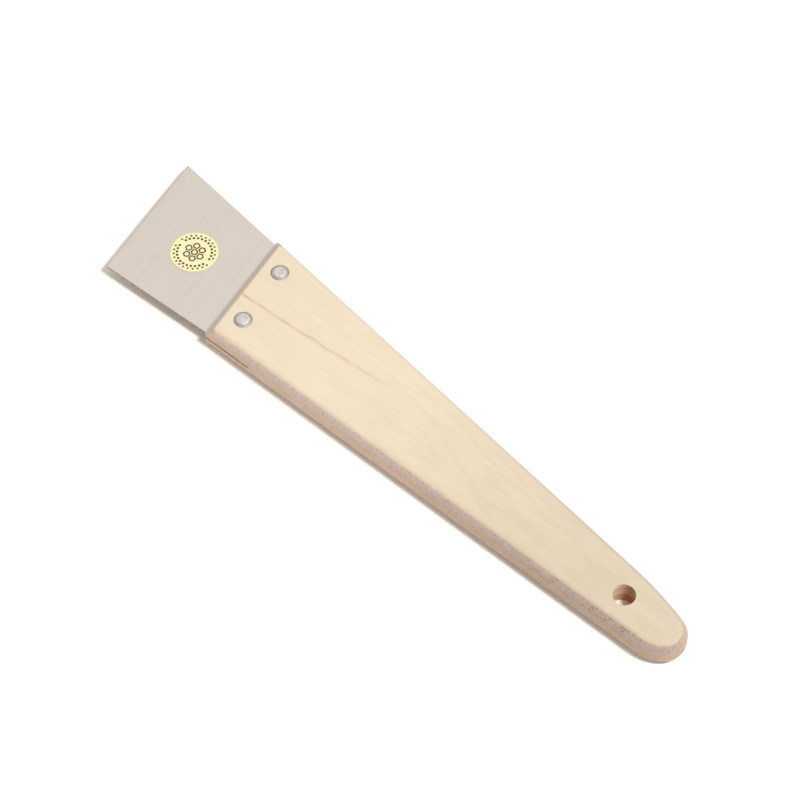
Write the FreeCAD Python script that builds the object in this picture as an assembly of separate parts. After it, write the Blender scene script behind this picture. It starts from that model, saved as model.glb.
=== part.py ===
import FreeCAD, Part
import math, os

os.makedirs("parts", exist_ok=True)

# Hive tool: a skewed steel scraper blade let into a saw kerf in a tapered plywood handle and held by
# two rivets.  Working axes: X along the handle from the middle of the cutting edge (x = 0) to the
# rounded tip, +Y the side whose corners lead, +Z up, resting face at z = 0.  The finished solids are
# moved so that the origin sits at the bottom centre of the whole tool.

# --- driving dimensions, mm ---------------------------------------------------------------------
TOOL_L = 299.4            # cutting edge to handle tip along the centre line
SKEW = 0.232              # forward lean of the handle front per mm across (about 13 degrees)

HANDLE_X = 57.8           # cutting edge to handle front along the centre line
HANDLE_HALF = 26.9        # half width of the handle at its front
HANDLE_TAPER = 0.0660     # half width lost per mm of length
NOSE_R = 9.6              # tip circle
NOSE_Y = -0.5
LEAD_BLEND_R = 150.0      # long easing arc into the tip on the leading side
TRAIL_BLEND_R = 16.0      # short easing arc on the trailing side
ROUND_R = 4.4             # round-over along every outer edge of the handle
EASE_R = {1: 3.6, -1: 1.0}            # sanded upright corners of the front, leading and trailing
PLIES = (                 # bottom to top: name and thickness
    ("face_veneer_bottom", 0.5),
    ("crossband_bottom", 3.5),
    ("core_ply", 4.0),
    ("crossband_top", 3.5),
    ("face_veneer_top", 0.5),
)
HANDLE_T = sum(t for _, t in PLIES)

HANG_X, HANG_R = 269.4, 4.55          # hanging hole

BLADE_T = 1.0
BLADE_HALF = 30.5         # half width at the cutting edge
BLADE_TAPER = 0.0838
BLADE_SKEW = 0.222        # lean of the cutting edge in the blade's own axes
BLADE_Y = -0.8            # blade axis at the cutting edge, off the handle centre line
BLADE_TURN = 1.1          # degrees the blade sits turned in its kerf
BEVEL_W, BEVEL_H = 1.2, 0.75          # ground edge
NICK_D, NICK_W = 0.6, 2.8             # leading corner of the edge, set back in a small step
KERF_D = 24.0             # kerf depth behind the handle front
TANG_GAP = 1.0            # blade end to kerf bottom

RIVET_X, RIVET_Y = 69.1, 1.3          # middle of the rivet pair
RIVET_PITCH_Y = 13.6      # each rivet off that middle, across
SHANK_R = 2.0
SINK_R, SINK_D = 3.7, 1.7             # countersunk head, flush with the resting face
PEEN_R, PEEN_H = 2.75, 0.45           # spread end on the upper side
WASHER_R, WASHER_TOP_R, WASHER_T = 3.9, 3.3, 0.6
WASHER_SEAT = 0.25        # depth the washer is pressed into the face veneer

LABEL_X, LABEL_Y, LABEL_R, LABEL_T = 29.5, 0.0, 10.5, 0.1


def V(x, y, z=0.0):
    return FreeCAD.Vector(x, y, z)


def half_width(x):
    return HANDLE_HALF - HANDLE_TAPER * (x - HANDLE_X)


def prism(points, z0, z1):
    loop = [V(x, y, z0) for x, y in points]
    return Part.Face(Part.makePolygon(loop + loop[:1])).extrude(V(0, 0, z1 - z0))


def front_corner(side, depth=0.0):
    """Corner of a line parallel to the handle front, `depth` behind it, with the handle side."""
    x0 = HANDLE_X + depth
    y = side * half_width(x0) / (1 - side * SKEW * HANDLE_TAPER)
    return x0 - SKEW * y, y


def corner_waste(side):
    """What sanding takes off an upright front corner."""
    radius = EASE_R[side]
    front, flank = V(-1, -SKEW).normalize(), V(HANDLE_TAPER, side).normalize()
    apex = V(*front_corner(side))
    centre = apex - (front + flank) * (radius / (1 + front.dot(flank)))
    loop = [centre, centre + front * radius, apex + front + flank, centre + flank * radius]
    post = Part.makeCylinder(radius, HANDLE_T, centre)
    return prism([(p.x, p.y) for p in loop], 0, HANDLE_T).cut(post)


def tip_blend(side, radius):
    """Start, middle and end of the arc that joins a straight side to the tip circle."""
    run = V(1, -side * HANDLE_TAPER).normalize()
    out = V(HANDLE_TAPER, side).normalize()
    foot = V(0, side * half_width(0)) - out * radius
    nose = V(TOOL_L - NOSE_R, NOSE_Y)
    gap = foot - nose
    b = run.dot(gap)
    s = -b - math.sqrt(b * b - gap.dot(gap) + (radius - NOSE_R) ** 2)
    centre = foot + run * s
    end_dir = (nose - centre).normalize()
    mid_dir = (out + end_dir).normalize()
    return [centre + d * radius for d in (out, mid_dir, end_dir)]


def handle_block():
    lead, trail = V(*front_corner(1)), V(*front_corner(-1))
    a0, am, a1 = tip_blend(1, LEAD_BLEND_R)
    b0, bm, b1 = tip_blend(-1, TRAIL_BLEND_R)
    edges = [
        Part.LineSegment(trail, lead).toShape(),
        Part.LineSegment(lead, a0).toShape(),
        Part.Arc(a0, am, a1).toShape(),
        Part.Arc(a1, V(TOOL_L, NOSE_Y), b1).toShape(),
        Part.Arc(b1, bm, b0).toShape(),
        Part.LineSegment(b0, trail).toShape(),
    ]
    block = Part.Face(Part.Wire(edges)).extrude(V(0, 0, HANDLE_T))
    rims = [e for e in block.Edges if e.BoundBox.ZLength < 1e-6]
    return block.makeFillet(ROUND_R, rims).cut([corner_waste(1), corner_waste(-1)])


def rivet_spots():
    for side in (1, -1):
        yield side, RIVET_X - side * SKEW * RIVET_PITCH_Y, RIVET_Y + side * RIVET_PITCH_Y


def turned(profile, x, y):
    """Solid of revolution about the vertical through (x, y) from (radius, height) pairs."""
    loop = [V(x + r, y, z) for r, z in profile]
    return Part.Face(Part.makePolygon(loop + loop[:1])).revolve(V(x, y, 0), V(0, 0, 1), 360)


def rivet(x, y):
    top = HANDLE_T - WASHER_SEAT + WASHER_T
    return turned([
        (0, 0), (SINK_R, 0), (SHANK_R, SINK_D), (SHANK_R, top), (PEEN_R, top),
        (PEEN_R, top + 0.5 * PEEN_H), (PEEN_R - 0.25, top + 0.85 * PEEN_H),
        (PEEN_R - 0.7, top + PEEN_H), (0, top + PEEN_H),
    ], x, y)


def washer(x, y):
    z0 = HANDLE_T - WASHER_SEAT
    return turned([
        (SHANK_R, z0), (WASHER_R, z0), (WASHER_R, z0 + 0.3),
        (WASHER_TOP_R, z0 + WASHER_T), (SHANK_R, z0 + WASHER_T),
    ], x, y)


def kerf_slot(z0, z1):
    reach = 60.0
    rows = ((reach, 10.0), (-reach, 10.0), (-reach, -KERF_D), (reach, -KERF_D))
    return prism([(HANDLE_X - ahead - SKEW * y, y) for y, ahead in rows], z0, z1)


def blade_corner(x, side, skew):
    """Where a line across the blade, `x` behind the cutting edge, meets the blade side."""
    y = side * (BLADE_HALF - BLADE_TAPER * x) / (1 - side * skew * BLADE_TAPER)
    return x - skew * y, y


def grinding_wedge(z1):
    """Everything above the ground slope along the cutting edge."""
    slope, run = BEVEL_H / BEVEL_W, 40.0
    rows = ((-2, -2 * slope - BEVEL_H), (BEVEL_W + 1, slope), (-2, slope))
    loop = [V(d + BLADE_SKEW * run, -run, z1 + h) for d, h in rows]
    return Part.Face(Part.makePolygon(loop + loop[:1])).extrude(V(-2 * BLADE_SKEW * run, 2 * run))


def blade_sheet(z0, z1):
    length = HANDLE_X + KERF_D - TANG_GAP
    corner = blade_corner(NICK_D, 1, BLADE_SKEW)
    inner = corner[1] - NICK_W
    sheet = prism([
        corner,
        (NICK_D - BLADE_SKEW * inner, inner),
        (-BLADE_SKEW * inner, inner),
        blade_corner(0, -1, BLADE_SKEW),
        blade_corner(length, -1, SKEW),
        blade_corner(length, 1, SKEW),
    ], z0, z1).cut(grinding_wedge(z1))
    sheet.rotate(V(0, 0), V(0, 0, 1), BLADE_TURN)
    sheet.translate(V(0, BLADE_Y))
    return sheet


def bore(x, y, r):
    return Part.makeCylinder(r, HANDLE_T + 2, V(x, y, -1))


mid = HANDLE_T / 2
solids = {}

fasteners = []
for side, x, y in rivet_spots():
    tag = "lead" if side > 0 else "trail"
    solids["rivet_" + tag] = rivet(x, y)
    solids["washer_" + tag] = washer(x, y)
    fasteners += [solids["rivet_" + tag], solids["washer_" + tag]]

blade = blade_sheet(mid - BLADE_T / 2, mid + BLADE_T / 2)
solids["blade"] = blade.cut([bore(x, y, SHANK_R) for _, x, y in rivet_spots()])

handle = handle_block().cut([
    bore(HANG_X, 0, HANG_R),
    kerf_slot(mid - BLADE_T / 2, mid + BLADE_T / 2),
] + fasteners)
z = 0.0
for name, thick in PLIES:
    slab = Part.makeBox(TOOL_L + 40, 80, thick, V(-20, -40, z))
    solids[name] = handle.common(slab)
    z += thick

solids["label"] = Part.makeCylinder(LABEL_R, LABEL_T, V(LABEL_X, LABEL_Y, mid + BLADE_T / 2))

whole = Part.Compound(list(solids.values())).optimalBoundingBox(False, False)
shift = V(-whole.Center.x, -whole.Center.y, 0)
for name, shape in solids.items():
    shape.translate(shift)
    shape.exportStep("parts/%s.step" % name)
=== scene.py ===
"""Looks for the hive tool: plywood, satin blade, rivets and foil label around the CAD frame."""
import math

import bpy
from mathutils import Matrix, Vector


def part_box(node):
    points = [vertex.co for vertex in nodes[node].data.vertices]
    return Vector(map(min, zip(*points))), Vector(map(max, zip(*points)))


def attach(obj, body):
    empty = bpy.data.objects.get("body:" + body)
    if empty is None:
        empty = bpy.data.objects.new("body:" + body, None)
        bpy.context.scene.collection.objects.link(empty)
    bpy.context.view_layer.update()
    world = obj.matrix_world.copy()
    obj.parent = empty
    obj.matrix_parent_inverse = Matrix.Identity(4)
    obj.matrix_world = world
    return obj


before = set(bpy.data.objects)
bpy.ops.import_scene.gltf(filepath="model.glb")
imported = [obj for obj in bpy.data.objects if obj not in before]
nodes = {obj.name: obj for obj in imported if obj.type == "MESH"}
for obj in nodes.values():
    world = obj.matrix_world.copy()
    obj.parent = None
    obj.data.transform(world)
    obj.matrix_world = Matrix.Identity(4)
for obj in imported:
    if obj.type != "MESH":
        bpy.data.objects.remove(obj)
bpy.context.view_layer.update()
MM = 0.001

# places on the tool that the materials follow, mm
MID_Z = 6.0                         # middle of the handle thickness
HOLE, HOLE_R = (123.14, 0.25, 0.0), 4.55    # hanging hole, axis and radius
NOSE_X, NOSE_Y = 143.54, -0.25      # centre of the rounded tip
FRONT_X, FRONT_LEAN = 88.4, 0.232   # handle front: x + FRONT_LEAN * y + FRONT_X = 0
EDGE_X, EDGE_LEAN = 146.39, 0.242   # cutting edge, likewise
BLADE_LOW, BLADE_TOP = 5.5, 6.5     # lower and upper face of the blade
STREAK_X = 83.3                     # mineral streak starts at x = -STREAK_X
RIGHT = (0.717, 0.697)              # across the hole, from its paler side to the side darkened as painted shade

SANDED_AND_LIT_WOOD = (0.62, 0.53, 0.42)    # the round-over's cut ply colour, also used as painted light on the far side
WARM_WHITE = (1.0, 0.985, 0.96)


class Graph:
    """A material's node tree, built by nested calls; coordinates are object space in mm."""

    def __init__(self, name):
        self.material = bpy.data.materials.new(name)
        self.material.use_nodes = True
        self.tree = self.material.node_tree
        self.tree.nodes.clear()
        coords = self.node("ShaderNodeTexCoord")
        scaled = self.node("ShaderNodeVectorMath", operation="SCALE")
        self.tree.links.new(coords.outputs["Object"], scaled.inputs[0])
        scaled.inputs["Scale"].default_value = 1 / MM
        self.mm = scaled.outputs[0]
        split = self.node("ShaderNodeSeparateXYZ")
        self.put(split.inputs[0], self.mm)
        self.x, self.y, self.z = split.outputs

    def node(self, kind, **settings):
        made = self.tree.nodes.new(kind)
        for key, value in settings.items():
            setattr(made, key, value)
        return made

    def put(self, socket, value):
        if hasattr(value, "is_linked"):
            self.tree.links.new(value, socket)
        elif isinstance(value, (tuple, list)) and len(value) == 3 and socket.type == "RGBA":
            socket.default_value = (*value, 1.0)
        else:
            socket.default_value = value

    def math(self, operation, a, b=0.0, c=0.0):
        made = self.node("ShaderNodeMath", operation=operation)
        for socket, value in zip(made.inputs, (a, b, c)):
            self.put(socket, value)
        return made.outputs[0]

    def times(self, first, *others):
        for other in others:
            first = self.math("MULTIPLY", first, other)
        return first

    def gap(self, a, b):
        """Absolute difference."""
        return self.math("ABSOLUTE", self.math("SUBTRACT", a, b))

    def smooth(self, value, low, high):
        """0 below `low`, 1 above `high`, eased between; swapped limits give the reverse."""
        made = self.node("ShaderNodeMapRange", interpolation_type="SMOOTHSTEP")
        flip = low > high
        self.put(made.inputs["Value"], value)
        made.inputs["From Min"].default_value = min(low, high)
        made.inputs["From Max"].default_value = max(low, high)
        made.inputs["To Min"].default_value = 1.0 if flip else 0.0
        made.inputs["To Max"].default_value = 0.0 if flip else 1.0
        return made.outputs[0]

    def mapped(self, scale, turn=0.0, shift=(0, 0, 0), source=None):
        """Coordinates turned about Z by `turn` degrees, then scaled and shifted."""
        spin = self.node("ShaderNodeVectorRotate", rotation_type="Z_AXIS")
        self.put(spin.inputs["Vector"], source or self.mm)
        spin.inputs["Angle"].default_value = math.radians(turn)
        made = self.node("ShaderNodeMapping", vector_type="POINT")
        self.put(made.inputs["Vector"], spin.outputs[0])
        made.inputs["Scale"].default_value = scale
        made.inputs["Location"].default_value = shift
        return made.outputs[0]

    def noise(self, vector, detail=3.0, rough=0.5):
        made = self.node("ShaderNodeTexNoise", noise_dimensions="3D")
        self.put(made.inputs["Vector"], vector)
        made.inputs["Scale"].default_value = 1.0
        made.inputs["Detail"].default_value = detail
        made.inputs["Roughness"].default_value = rough
        return made.outputs["Fac"]

    def waver(self, scale, reach, detail=3.0):
        """Noise about zero, `reach` from end to end."""
        field = self.noise(self.mapped(scale), detail)
        return self.times(self.math("SUBTRACT", field, 0.5), reach)

    def ramp(self, value, *stops):
        """Piecewise linear map from `value` through (position, level) stops."""
        made = self.node("ShaderNodeValToRGB")
        band = made.color_ramp.elements
        while len(band) < len(stops):
            band.new(0.5)
        for element, (position, level) in zip(band, stops):
            element.position = position
            element.color = (level, level, level, 1)
        self.put(made.inputs["Fac"], value)
        return made.outputs["Color"]

    def mix(self, share, a, b, blend="MIX"):
        made = self.node("ShaderNodeMix", data_type="RGBA", blend_type=blend)
        self.put(made.inputs["Factor"], share)
        self.put(made.inputs[6], a)
        self.put(made.inputs[7], b)
        return made.outputs[2]

    def distance(self, point):
        """Distance from the vertical line through `point`, which has z = 0."""
        made = self.node("ShaderNodeVectorMath", operation="DISTANCE")
        self.put(made.inputs[0], self.mapped((1, 1, 0)))
        made.inputs[1].default_value = point
        return made.outputs["Value"]

    def bump(self, height, strength, distance_mm):
        made = self.node("ShaderNodeBump")
        self.put(made.inputs["Height"], height)
        made.inputs["Strength"].default_value = strength
        made.inputs["Distance"].default_value = distance_mm * MM
        return made.outputs[0]

    def finish(self, **inputs):
        shader = self.node("ShaderNodeBsdfPrincipled")
        for key, value in inputs.items():
            self.put(shader.inputs[key.replace("_", " ")], value)
        out = self.node("ShaderNodeOutputMaterial")
        self.tree.links.new(shader.outputs[0], out.inputs["Surface"])
        return self.material

    def off_middle(self):
        """Height above or below the handle's middle plane."""
        return self.gap(self.z, MID_Z)

    def behind_front(self):
        """Distance behind the handle's leaning front face."""
        lean = self.math("MULTIPLY_ADD", self.y, FRONT_LEAN, FRONT_X)
        return self.math("DIVIDE", self.math("ADD", self.x, lean), math.hypot(1.0, FRONT_LEAN))

    def handled(self, colour):
        """Handle-wide painted shade, darker towards the tip, and the drilled wall of the hanging
        hole.
        """
        # painted shade: the whole handle dims towards the tip, as if the light fell off along it
        painted_falloff = self.smooth(self.x, -30, 120)
        colour = self.mix(painted_falloff, colour, (0.832, 0.83, 0.832), "MULTIPLY")

        # down the hole: ringed upper ply, straw core, reddish lower ply, one side darkened as
        # painted shade
        rings = self.ramp(self.noise(self.mapped((0.08, 0.08, 1.3)), 2.0), (0.42, 0.0), (0.55, 1.0))
        drilled = self.mix(rings, (0.46, 0.30, 0.20), (0.90, 0.73, 0.57))
        drilled = self.mix(self.smooth(self.z, 7.8, 6.6), drilled, (0.88, 0.74, 0.50))
        drilled = self.mix(self.smooth(self.z, 5.6, 3.6), drilled, (0.58, 0.27, 0.17))
        across = self.math("MULTIPLY_ADD", self.x, RIGHT[0], self.times(self.y, RIGHT[1]))
        # painted shade on the part of the hole wall that faces away from the light
        painted_shade_side = self.smooth(self.math("SUBTRACT", across, RIGHT[0] * HOLE[0]), -2.5, 3.5)
        drilled = self.mix(painted_shade_side, drilled, (0.66, 0.46, 0.37), "MULTIPLY")
        wall = self.smooth(self.distance(HOLE), HOLE_R + 0.07, HOLE_R + 0.02)
        return self.mix(wall, colour, drilled)


def face_veneer():
    """Pale veneer with gently wandering long grain."""
    g = Graph("face_veneer_wood")
    sway = g.node("ShaderNodeCombineXYZ")
    g.put(sway.inputs["Y"], g.waver((0.010, 0.05, 0.05), 9.0, 2.0))
    bent = g.node("ShaderNodeVectorMath", operation="ADD")
    g.put(bent.inputs[0], g.mm)
    g.put(bent.inputs[1], sway.outputs[0])
    bent = bent.outputs[0]

    clouds = g.noise(g.mapped((0.05, 0.12, 0.1)), 4.0, 0.6)
    bands = g.noise(g.mapped((0.006, 0.55, 0.5), -6, source=bent), 3.0, 0.55)
    fibre = g.noise(g.mapped((0.10, 5.5, 2.0), -5, source=bent), 4.0, 0.6)
    pores = g.noise(g.mapped((0.45, 7.0, 3.0), -5, source=bent), 2.0, 0.5)

    colour = g.mix(clouds, (0.620, 0.525, 0.388), (0.730, 0.631, 0.482))
    colour = g.mix(g.ramp(bands, (0.42, 0.0), (0.62, 0.22)), colour, (0.61, 0.50, 0.35))
    colour = g.mix(g.ramp(fibre, (0.35, 0.32), (0.60, 0.0)), colour, (0.59, 0.485, 0.35))
    colour = g.mix(g.ramp(pores, (0.66, 0.0), (0.76, 0.30)), colour, (0.48, 0.37, 0.25))

    # faint growth rings, fading in along the handle towards the tip
    ripple = g.noise(g.mapped((0.014, 0.045, 0.05), shift=(6, 1, 3)), 3.0, 0.55)
    ripple = g.math("MULTIPLY_ADD", g.x, 0.08, g.times(ripple, 34.0))
    phase = g.math("MULTIPLY_ADD", g.y, 0.85, ripple)
    rings = g.math("POWER", g.math("MULTIPLY_ADD", g.math("SINE", phase), 0.5, 0.5), 4.0)
    rings = g.times(rings, g.smooth(g.x, -45, 30), 0.15)
    colour = g.mix(rings, colour, (0.53, 0.42, 0.285))

    # one thin mineral streak, from the handle front between the rivets to the middle third
    along = g.math("ADD", g.x, STREAK_X)
    path = g.math("MULTIPLY_ADD", along, 0.092, -3.2)
    path = g.math("ADD", g.times(along, along, 0.00042), path)
    off = g.gap(g.math("SUBTRACT", g.y, path), g.waver((0.16, 0.16, 0.1), 1.6))
    line = g.ramp(g.math("DIVIDE", off, 1.3), (0.0, 1.0), (0.25, 0.6), (0.45, 0.2), (1.0, 0.0))
    reach = g.math("DIVIDE", along, 100.0)
    reach = g.ramp(reach, (0.0, 1.0), (0.30, 0.9), (0.62, 0.6), (0.76, 0.0))
    broken = g.noise(g.mapped((0.12, 0.3, 0.1), shift=(4, 2, 0)), 2.0)
    broken = g.ramp(broken, (0.35, 0.35), (0.6, 1.0))
    upper = g.smooth(g.z, MID_Z - 1, MID_Z + 1)
    colour = g.mix(g.times(line, reach, broken, upper, 0.82), colour, (0.47, 0.27, 0.13))

    # feathered where the round-over cuts through the veneer, paler on the far side as painted
    # light, darker along the handle front
    frayed = g.waver((0.5, 0.5, 0.5), 0.5)
    cut = g.smooth(g.math("ADD", g.off_middle(), frayed), 6.02, 5.55)
    # the far side's paler tone is painted light
    sanded_and_lit = g.mix(g.smooth(g.y, -4.0, 4.0), (0.60, 0.475, 0.34), SANDED_AND_LIT_WOOD)
    colour = g.mix(g.times(cut, 0.8), colour, sanded_and_lit)
    end = g.smooth(g.math("ADD", g.behind_front(), g.times(frayed, 0.8)), 3.75, 3.45)
    colour = g.mix(end, colour, (0.42, 0.34, 0.28))

    height = g.math("ADD", fibre, g.times(pores, -0.6))
    return g.finish(
        Base_Color=g.handled(colour),
        Roughness=g.math("MULTIPLY_ADD", fibre, 0.14, 0.52),
        Normal=g.bump(height, 0.25, 0.06),
        Specular_IOR_Level=0.3,
        Sheen_Weight=0.4,
    )


def crossband():
    """Grain across the handle: porous end grain on the long sides, long grain at the front."""
    g = Graph("crossband_wood")
    tone = g.noise(g.mapped((0.06, 0.02, 0.35)), 3.0, 0.6)
    cells = g.noise(g.mapped((1.3, 0.10, 1.1)), 4.0, 0.75)
    pits = g.noise(g.mapped((1.7, 0.12, 1.3), shift=(3, 1, 7)), 2.0, 0.6)
    patches = g.noise(g.mapped((0.16, 0.05, 0.3), shift=(9, 0, 2)), 2.0)
    patches = g.ramp(patches, (0.4, 0.3), (0.6, 1.0))
    tip = g.times(g.smooth(g.x, -20, 110), g.smooth(g.x, 148, 142))
    colour = g.mix(tone, (0.49, 0.385, 0.325), (0.60, 0.48, 0.405))
    colour = g.mix(g.ramp(cells, (0.36, 0.55), (0.56, 0.0)), colour, (0.40, 0.295, 0.245))
    colour = g.mix(g.ramp(cells, (0.58, 0.0), (0.75, 0.45)), colour, (0.74, 0.62, 0.53))
    depth = g.math("MULTIPLY_ADD", tip, 0.62, 0.34)
    pitted = g.times(g.ramp(pits, (0.55, 0.0), (0.66, 1.0)), depth, patches)
    colour = g.mix(pitted, colour, (0.22, 0.145, 0.105))

    # the handle front, then a paler skin where the round-over nears the face veneer, reaching
    # deeper on the far side as painted light
    front = g.times(g.smooth(g.behind_front(), 4.6, 3.8), g.smooth(g.y, -25.8, -24.2))
    colour = g.mix(front, colour, g.mix(cells, (0.36, 0.300, 0.247), (0.43, 0.360, 0.300)))
    level = g.math("ADD", g.off_middle(), g.waver((0.5, 0.5, 0.5), 0.7))
    # painted light: the far side's round-over paler to a greater depth
    far_painted_light = g.times(g.smooth(g.y, -4.0, 4.0), g.smooth(level, 3.3, 4.6))
    sanded_and_lit = g.math("MAXIMUM", g.smooth(level, 5.1, 5.75), far_painted_light)
    sanded_and_lit = g.times(sanded_and_lit, 0.75, g.math("SUBTRACT", 1.0, front))
    colour = g.mix(sanded_and_lit, colour, SANDED_AND_LIT_WOOD)
    # painted shade: the crossband darkens further towards the tip
    colour = g.mix(g.smooth(g.x, -10, 110), colour, (0.92, 0.90, 0.88), "MULTIPLY")

    # round the nose the grain lies along the surface: pinker, with one fine seam at the point
    nose = g.smooth(g.x, NOSE_X + 2.0, NOSE_X + 7.0)
    pink = g.times(nose, g.smooth(g.y, NOSE_Y - 2.5, NOSE_Y + 1.0), 0.7)
    colour = g.mix(pink, colour, g.mix(cells, (0.42, 0.28, 0.21), (0.68, 0.51, 0.41)))
    seam = g.smooth(g.gap(g.y, NOSE_Y), 0.5, 0.15)
    colour = g.mix(g.times(seam, nose, 0.55), colour, (0.40, 0.26, 0.19))
    height = g.math("SUBTRACT", cells, pits)
    return g.finish(
        Base_Color=g.handled(colour), Roughness=0.62, Normal=g.bump(height, 0.35, 0.12),
        Specular_IOR_Level=0.35, Sheen_Weight=0.4,
    )


def core_ply():
    """Straw-coloured long grain with short dark pores."""
    g = Graph("core_wood")
    tone = g.noise(g.mapped((0.02, 0.3, 0.5)), 2.0)
    fibre = g.noise(g.mapped((0.10, 2.5, 3.2)), 4.0, 0.6)
    pores = g.noise(g.mapped((0.35, 4.0, 5.0), shift=(1, 5, 2)), 2.0)
    colour = g.mix(tone, (0.61, 0.46, 0.33), (0.75, 0.60, 0.465))
    colour = g.mix(g.ramp(fibre, (0.38, 0.75), (0.6, 0.0)), colour, (0.52, 0.355, 0.235))
    colour = g.mix(g.ramp(pores, (0.62, 0.0), (0.74, 0.6)), colour, (0.36, 0.22, 0.14))
    # painted shade: the core darkens towards the tip
    colour = g.mix(g.smooth(g.x, -10, 110), colour, (0.94, 0.93, 0.90), "MULTIPLY")
    return g.finish(
        Base_Color=g.handled(colour), Roughness=0.66, Normal=g.bump(fibre, 0.3, 0.1),
        Specular_IOR_Level=0.3,
    )


def satin_steel():
    """Satin sheet, brushed across the blade in line with the cutting edge."""
    g = Graph("satin_steel")
    brushed = -14.0     # degrees about Z
    fine = g.noise(g.mapped((6.0, 0.10, 1.0), brushed), 5.0, 0.7)
    broad = g.noise(g.mapped((0.8, 0.02, 1.0), brushed, (7, 0, 0)), 3.0, 0.6)
    smudge = g.noise(g.mapped((0.05, 0.07, 0.1), shift=(2, 9, 0)), 3.0, 0.55)
    colour = g.mix(fine, (0.690, 0.629, 0.580), (0.783, 0.723, 0.671))
    colour = g.mix(g.ramp(broad, (0.45, 0.0), (0.7, 0.25)), colour, (0.641, 0.583, 0.534))
    colour = g.mix(g.ramp(smudge, (0.5, 0.0), (0.75, 0.3)), colour, (0.715, 0.614, 0.56))

    # dark sides, partly painted shade along the edges; ground slope bright, with a dull line where
    # the slope meets the face
    behind = g.math("ADD", g.x, g.math("MULTIPLY_ADD", g.y, EDGE_LEAN, EDGE_X))
    below_top = g.smooth(g.z, BLADE_TOP - 0.01, BLADE_TOP - 0.04)
    flank = g.times(below_top, g.smooth(g.z, BLADE_LOW + 0.005, BLADE_LOW + 0.03))
    slope = g.times(g.smooth(behind, 1.6, 1.4), g.smooth(g.z, BLADE_LOW + 0.22, BLADE_LOW + 0.26))
    colour = g.mix(flank, colour, g.mix(slope, (0.26, 0.245, 0.225), (0.70, 0.67, 0.605)))
    burr = g.times(g.smooth(behind, 1.8, 1.5), g.smooth(behind, 0.7, 1.0))
    burr = g.times(burr, g.smooth(g.z, BLADE_TOP - 0.4, BLADE_TOP - 0.2))
    colour = g.mix(burr, colour, (0.88, 0.88, 0.88), "MULTIPLY")
    rough = g.math("MULTIPLY_ADD", fine, 0.10, g.math("MULTIPLY_ADD", smudge, 0.04, 0.37))
    return g.finish(
        Base_Color=colour, Metallic=1.0, Roughness=rough, Normal=g.bump(fine, 0.10, 0.02),
    )


def disc(node):
    """Axis point (z = 0) and radius, in mm, of a round CAD node."""
    low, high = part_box(node)
    middle = ((a + b) / 2 / MM for a, b in zip(low[:2], high[:2]))
    return (*middle, 0.0), (high[0] - low[0]) / 2 / MM


def rivet_metal(name, low, high, dents):
    """Dull, dented soft metal, with painted shade at the rim of each washer."""
    g = Graph(name)
    grain = g.noise(g.mapped((2.2, 2.2, 2.2)), 4.0, 0.6)
    dimple = g.noise(g.mapped((0.9, 0.9, 0.9), shift=(5, 3, 1)), 2.0)
    colour = g.mix(grain, low, high)
    colour = g.mix(g.ramp(dimple, (0.30, 0.5), (0.48, 0.0)), colour, tuple(0.6 * c for c in low))
    # painted shade: a dark ring at each washer's rim, standing in for the shade of the gap around
    # it
    for node in ("washer_lead", "washer_trail"):
        centre, radius = disc(node)
        away = g.distance(centre)
        inner = g.smooth(away, radius - 0.55, radius)
        outer = g.smooth(away, radius + 1, radius + 0.5)
        colour = g.mix(g.times(inner, outer, 0.75), colour, (0.16, 0.145, 0.12))
    return g.finish(
        Base_Color=colour, Metallic=1.0,
        Roughness=g.math("MULTIPLY_ADD", grain, 0.15, 0.56),
        Normal=g.bump(g.math("ADD", dimple, g.times(grain, 0.3)), dents, 0.25),
    )


def gold_foil():
    """Pale gold foil, deeper in colour along its rim."""
    g = Graph("gold_foil")
    film = g.noise(g.mapped((0.25, 0.25, 0.25)), 3.0)
    speck = g.noise(g.mapped((6.0, 6.0, 6.0)), 2.0)
    colour = g.mix(film, (0.79, 0.705, 0.40), (0.88, 0.80, 0.50))
    centre, radius = disc("label")
    rim = g.smooth(g.distance(centre), radius - 0.55, radius - 0.35)
    colour = g.mix(rim, colour, (0.62, 0.54, 0.27))
    return g.finish(
        Base_Color=colour, Metallic=0.2,
        Roughness=g.math("MULTIPLY_ADD", speck, 0.1, 0.34),
        Normal=g.bump(g.math("ADD", film, g.times(speck, 0.1)), 0.1, 0.1),
    )


def print_ink():
    """Dark ink, worn thin in places."""
    g = Graph("print_ink")
    wear = g.noise(g.mapped((4.0, 4.0, 4.0)), 3.0)
    thin = g.ramp(wear, (0.45, 0.0), (0.75, 0.5))
    colour = g.mix(thin, (0.045, 0.040, 0.020), (0.22, 0.19, 0.07))
    return g.finish(Base_Color=colour, Roughness=g.math("MULTIPLY_ADD", wear, 0.2, 0.4))


veneer, cross, core = face_veneer(), crossband(), core_ply()
finishes = {
    "face_veneer_top": veneer,
    "face_veneer_bottom": veneer,
    "crossband_top": cross,
    "crossband_bottom": cross,
    "core_ply": core,
    "blade": satin_steel(),
    "label": gold_foil(),
}
peened = rivet_metal("rivet_metal", (0.62, 0.605, 0.575), (0.745, 0.73, 0.70), 0.12)
ring = rivet_metal("washer_metal", (0.42, 0.415, 0.395), (0.54, 0.535, 0.515), 0.1)
for side in ("lead", "trail"):
    finishes["rivet_" + side] = peened
    finishes["washer_" + side] = ring
for name, material in finishes.items():
    nodes[name].data.materials.clear()
    nodes[name].data.materials.append(material)


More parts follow.
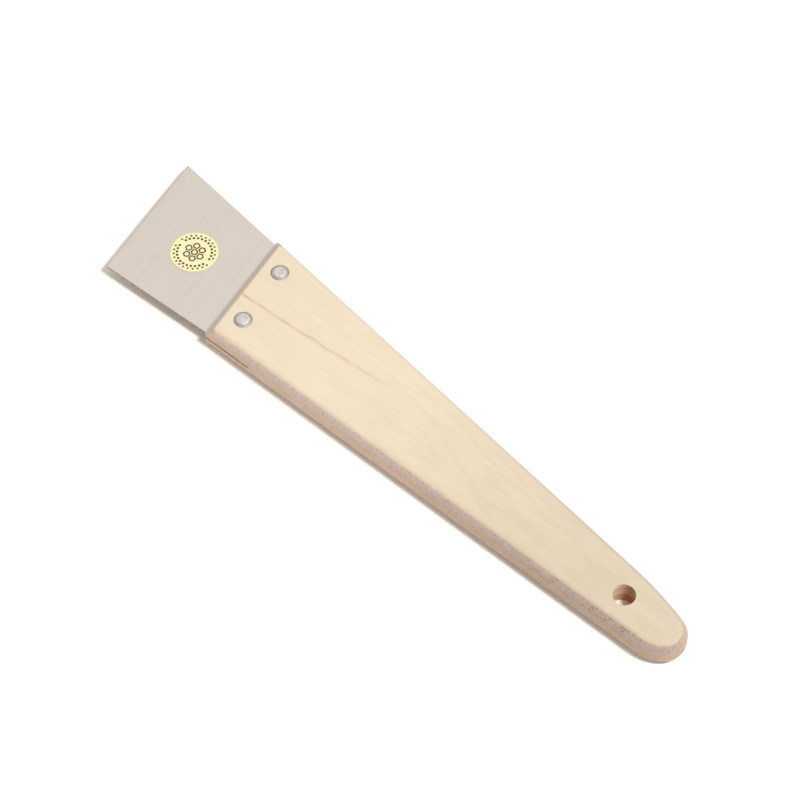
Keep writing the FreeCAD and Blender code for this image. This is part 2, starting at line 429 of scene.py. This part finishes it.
# --- print on the label: a plain honeycomb inside two broken rings of small cells ----------------
def hexagon(verts, faces, centre, outer, inner, z0, z1, turn):
    """Appends a flat six-sided ring, or a six-sided plate when `inner` is 0."""
    sides, base = 6, len(verts)
    loops = [(outer, z0), (outer, z1)]
    if inner:
        loops += [(inner, z1), (inner, z0)]
    for radius, z in loops:
        for k in range(sides):
            a = turn + math.tau * k / sides
            verts.append((centre[0] + radius * math.cos(a), centre[1] + radius * math.sin(a), z))
    rows = len(loops)
    for row in range(rows if inner else 1):
        for k in range(sides):
            j = (k + 1) % sides
            a, b = base + row * sides, base + (row + 1) % rows * sides
            faces.append((a + k, a + j, b + j, b + k))
    if not inner:
        faces.append([base + sides + k for k in range(sides)])
        faces.append([base + k for k in reversed(range(sides))])


def label_print():
    low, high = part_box("label")
    cx, cy, top = (low[0] + high[0]) / 2, (low[1] + high[1]) / 2, high[2]
    radius = (high[0] - low[0]) / 2
    z0, z1 = top - 0.01 * MM, top + 0.02 * MM
    verts, faces = [], []

    cell = 0.165 * radius
    pitch, hollow = 1.95 * cell, 0.58 * cell
    for q in (-1, 0, 1):
        for r in (-1, 0, 1):
            if abs(q + r) > 1:
                continue
            spot = (cx + pitch * (q + r / 2), cy + pitch * r * math.sqrt(3) / 2)
            hexagon(verts, faces, spot, cell, hollow, z0, z1, math.pi / 6)

    count = 26
    for k in range(count):
        if k in (0, count // 2):
            continue
        for reach, size, stagger in ((0.70, 0.062, 0.0), (0.83, 0.050, 0.5)):
            a = math.tau * (k + stagger) / count
            spot = (cx + reach * radius * math.cos(a), cy + reach * radius * math.sin(a))
            hexagon(verts, faces, spot, size * radius, 0, z0, z1, a)

    mesh = bpy.data.meshes.new("label_print")
    mesh.from_pydata(verts, [], faces)
    mesh.update()
    obj = bpy.data.objects.new("label_print", mesh)
    bpy.context.scene.collection.objects.link(obj)
    mesh.materials.append(print_ink())
    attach(obj, "root")


label_print()


# --- stage: pale floor, soft studio light, camera ------------------------------------------------
def floor():
    g = Graph("studio_floor")
    grain = g.noise(g.mapped((0.05, 0.05, 0.05)), 2.0)
    material = g.finish(
        Base_Color=g.mix(grain, (0.965, 0.91, 0.86), (0.975, 0.92, 0.87)), Roughness=0.9,
        Specular_IOR_Level=0.1,
    )
    mesh = bpy.data.meshes.new("floor")
    half = 6.0
    corners = [(-half, -half, 0), (half, -half, 0), (half, half, 0), (-half, half, 0)]
    mesh.from_pydata(corners, [], [(0, 1, 2, 3)])
    obj = bpy.data.objects.new("floor", mesh)
    bpy.context.scene.collection.objects.link(obj)
    mesh.materials.append(material)
    obj.location.z = -0.05 * MM


def key_light():
    """One soft square lamp overhead, off towards the handle tip."""
    data = bpy.data.lights.new("overhead", "AREA")
    data.shape, data.size, data.energy, data.color = "SQUARE", 0.44, 55.8, WARM_WHITE
    obj = bpy.data.objects.new("overhead", data)
    bpy.context.scene.collection.objects.link(obj)
    place = Vector((1.16, 0.26, 2.35))
    obj.location = place
    obj.rotation_euler = (-place).to_track_quat("-Z", "Y").to_euler()


def studio_world():
    """A soft dome, brightest high over the blade's far side and dimmest low opposite to it."""
    world = bpy.data.worlds.new("studio")
    world.use_nodes = True
    tree = world.node_tree
    tree.nodes.clear()
    coords = tree.nodes.new("ShaderNodeTexCoord")
    toward = tree.nodes.new("ShaderNodeVectorMath")
    toward.operation = "DOT_PRODUCT"
    toward.inputs[1].default_value = (-0.47, 0.37, 0.80)
    ramp = tree.nodes.new("ShaderNodeValToRGB")
    band = ramp.color_ramp.elements
    for position in (0.6, 0.84):
        band.new(position)
    levels = ((0.72, 0.70, 0.675), WARM_WHITE, WARM_WHITE, (1.5, 1.478, 1.44))
    for element, level in zip(band, levels):
        element.color = (*level, 1)
    back = tree.nodes.new("ShaderNodeBackground")
    back.inputs["Strength"].default_value = 0.68
    out = tree.nodes.new("ShaderNodeOutputWorld")
    tree.links.new(coords.outputs["Generated"], toward.inputs[0])
    tree.links.new(toward.outputs["Value"], ramp.inputs["Fac"])
    tree.links.new(ramp.outputs["Color"], back.inputs["Color"])
    tree.links.new(back.outputs[0], out.inputs["Surface"])
    bpy.context.scene.world = world


def camera():
    """Level camera off the near side and the handle tip, looking 56.5 degrees down."""
    data = bpy.data.cameras.new("camera")
    data.sensor_width, data.lens = 36.0, 112.5
    obj = bpy.data.objects.new("camera", data)
    bpy.context.scene.collection.objects.link(obj)
    back = Vector((0.384894, -0.395650, 0.833857))
    right = Vector((0.716783, 0.697296, 0.0))
    up = back.cross(right)
    turn = Matrix((right, up, back)).transposed().to_4x4()
    place = Vector((385.73, -392.39, 848.46)) * MM
    obj.matrix_world = Matrix.Translation(place) @ turn
    data.clip_start, data.clip_end = 0.05, 30.0
    bpy.context.scene.camera = obj


floor()
studio_world()
key_light()
camera()
bpy.context.scene.view_settings.view_transform = "Standard"
